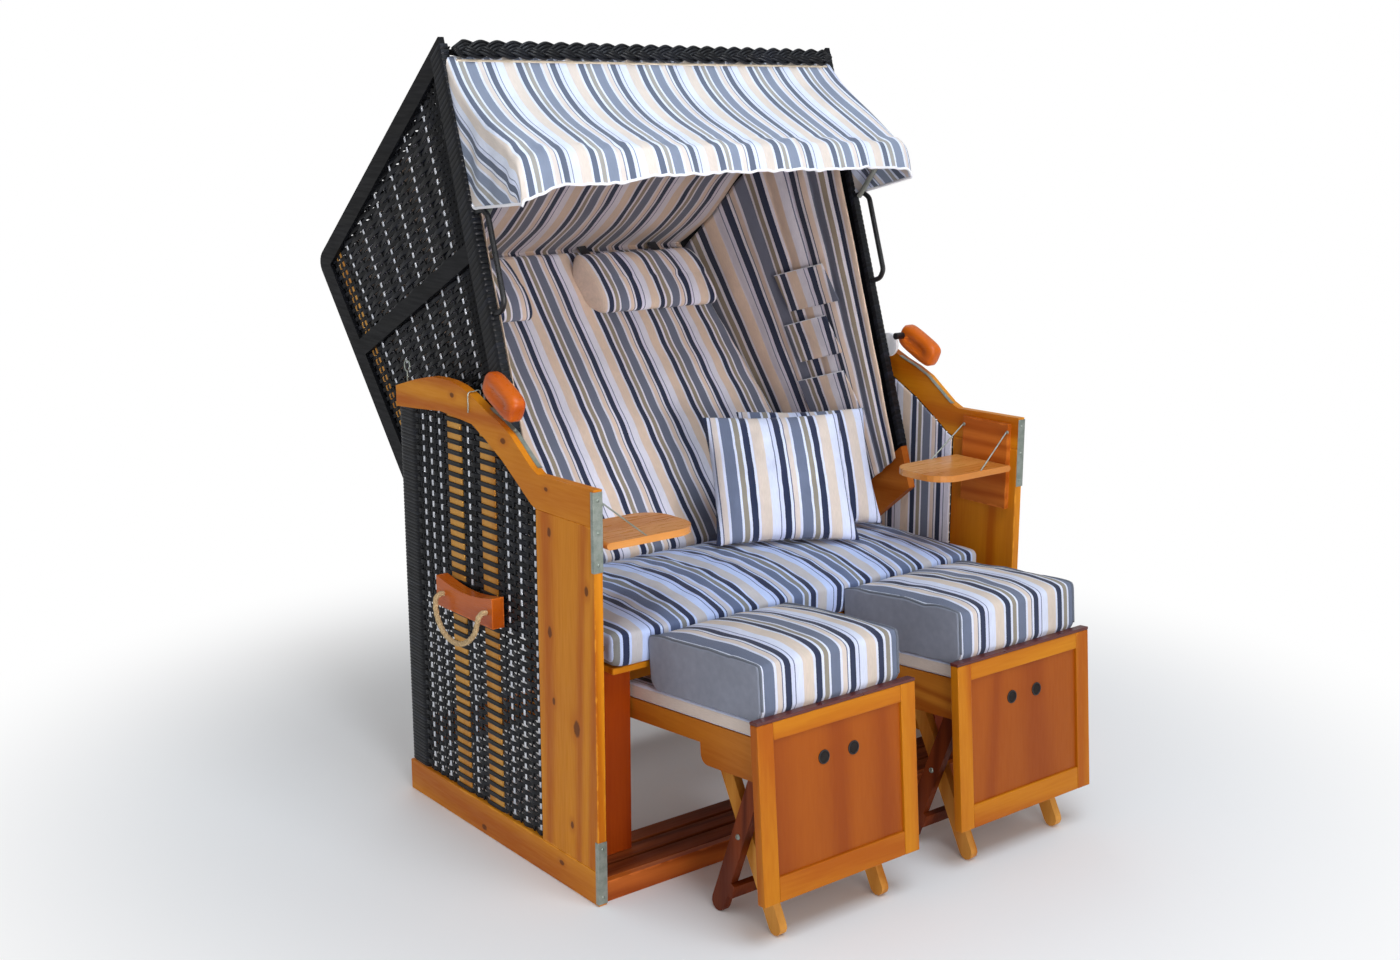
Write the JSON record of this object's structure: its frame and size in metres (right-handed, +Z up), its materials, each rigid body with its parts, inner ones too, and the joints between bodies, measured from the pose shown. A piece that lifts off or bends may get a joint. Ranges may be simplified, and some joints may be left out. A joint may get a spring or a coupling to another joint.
{
  "type": "hooded beach chair",
  "caption": "Hooded beach chair with a reclining hood, folding awning, fold-up side tables, rope handles and pull-out cushioned footrests on folding legs.",
  "frame": {"origin": "on the ground, under the centre of the whole part", "axes": "+Z up, the open front faces -Y, the left side as seen from the front is -X"},
  "size_m": [1.2842, 1.53, 1.6462],
  "materials": {
    "pine": "varnished honey pine",
    "orange_wood": "varnished orange-red pine",
    "dark_wood": "red-brown stained wood",
    "plywood": "varnished reddish plywood in a pine frame",
    "wicker": "woven plastic strand, satin",
    "lining": "plain lining cloth",
    "striped_cloth": "striped outdoor cloth",
    "rope": "twisted rope",
    "steel": "galvanised, dull",
    "braid": "braided rim"
  },
  "bodies": {
    "base": {"arm_left": "pine", "front_post_left": "pine", "bottom_rail_left": "pine", "side_weave_left": "wicker", "base_lining_left": "lining", "front_stile_left": "dark_wood", "seat_bearer_left": "pine", "table_plate_left": "pine", "handle_block_left": "orange_wood", "handle_rope_left": "rope", "arm_right": "pine", "front_post_right": "pine", "bottom_rail_right": "pine", "side_weave_right": "wicker", "base_lining_right": "lining", "front_stile_right": "dark_wood", "seat_bearer_right": "pine", "table_plate_right": "pine", "handle_block_right": "orange_wood", "handle_rope_right": "rope", "step_board": "orange_wood", "step_slats": "dark_wood", "rear_rail": "pine", "seat_board": "dark_wood", "seat_bearer_middle": "pine", "seat_cushion": "striped_cloth", "pillow_front": "striped_cloth", "pillow_rear": "striped_cloth"},
    "hood": {"hood_frame_left": "pine", "hood_weave_left": "wicker", "hood_foot_left": "orange_wood", "bolster_left": "striped_cloth", "pull_handle_left": "steel", "grip_left": "orange_wood", "hood_frame_right": "pine", "hood_weave_right": "wicker", "hood_foot_right": "orange_wood", "bolster_right": "striped_cloth", "pull_handle_right": "steel", "grip_right": "orange_wood", "hood_shell": "wicker", "hood_lining": "lining", "backrest_pad": "striped_cloth", "rim_braid": "braid", "awning_cloth": "striped_cloth"},
    "bow": {"awning_bow": "steel"},
    "drawer_left": {"footrest_panel_left": "plywood", "footrest_frame_left": "pine", "footrest_pad_left": "lining", "footrest_cushion_left": "striped_cloth"},
    "rear_legs_left": {"leg_rear_left": "dark_wood"},
    "front_legs_left": {"leg_front_left": "pine"},
    "table_left": {"side_table_left": "pine"},
    "drawer_right": {"footrest_panel_right": "plywood", "footrest_frame_right": "pine", "footrest_pad_right": "lining", "footrest_cushion_right": "striped_cloth"},
    "rear_legs_right": {"leg_rear_right": "dark_wood"},
    "front_legs_right": {"leg_front_right": "pine"},
    "table_right": {"side_table_right": "pine"}
  },
  "joints": [
    {"name": "hood_tilt", "type": "hinge", "parent": "base", "child": "hood", "pos_m": [0, 0.12221, 0.5], "axis": [-1, 0, 0], "range_deg": [-10, 36], "deforming": ["pillow_front", "pillow_rear"]},
    {"name": "bow_fold", "type": "hinge", "parent": "hood", "child": "bow", "pos_m": [0, 0.04221, 1.3], "axis": [-1, 0, 0], "range_deg": [0, 45], "deforming": ["awning_cloth"]},
    {"name": "footrest_slide_left", "type": "slide", "parent": "base", "child": "drawer_left", "axis": [0, 0.9969, -0.0785], "range_m": [0, 0.25], "deforming": ["footrest_cushion_left"]},
    {"name": "rear_leg_fold_left", "type": "hinge", "parent": "drawer_left", "child": "rear_legs_left", "pos_m": [-0.259, -0.69817, 0.32856], "axis": [1, 0, 0], "range_deg": [0, 62.6]},
    {"name": "front_leg_fold_left", "type": "hinge", "parent": "rear_legs_left", "child": "front_legs_left", "pos_m": [-0.259, -0.63936, 0.17505], "axis": [-1, 0, 0], "range_deg": [0, 125.2]},
    {"name": "table_fold_left", "type": "hinge", "parent": "base", "child": "table_left", "pos_m": [-0.5492, -0.42779, 0.7125], "axis": [0, -1, 0], "range_deg": [0, 88]},
    {"name": "footrest_slide_right", "type": "slide", "parent": "base", "child": "drawer_right", "axis": [0, 0.9969, -0.0785], "range_m": [0, 0.25], "deforming": ["footrest_cushion_right"]},
    {"name": "rear_leg_fold_right", "type": "hinge", "parent": "drawer_right", "child": "rear_legs_right", "pos_m": [0.259, -0.69817, 0.32856], "axis": [1, 0, 0], "range_deg": [0, 62.6]},
    {"name": "front_leg_fold_right", "type": "hinge", "parent": "rear_legs_right", "child": "front_legs_right", "pos_m": [0.259, -0.63936, 0.17505], "axis": [-1, 0, 0], "range_deg": [0, 125.2]},
    {"name": "table_fold_right", "type": "hinge", "parent": "base", "child": "table_right", "pos_m": [0.5492, -0.42779, 0.7125], "axis": [0, 1, 0], "range_deg": [0, 88]}
  ],
  "couplings": [
    {"joint": "rear_leg_fold_left", "follows": "footrest_slide_left", "rad_per_m": 4.3633},
    {"joint": "front_leg_fold_left", "follows": "footrest_slide_left", "rad_per_m": 8.7266},
    {"joint": "rear_leg_fold_right", "follows": "footrest_slide_right", "rad_per_m": 4.3633},
    {"joint": "front_leg_fold_right", "follows": "footrest_slide_right", "rad_per_m": 8.7266}
  ]
}
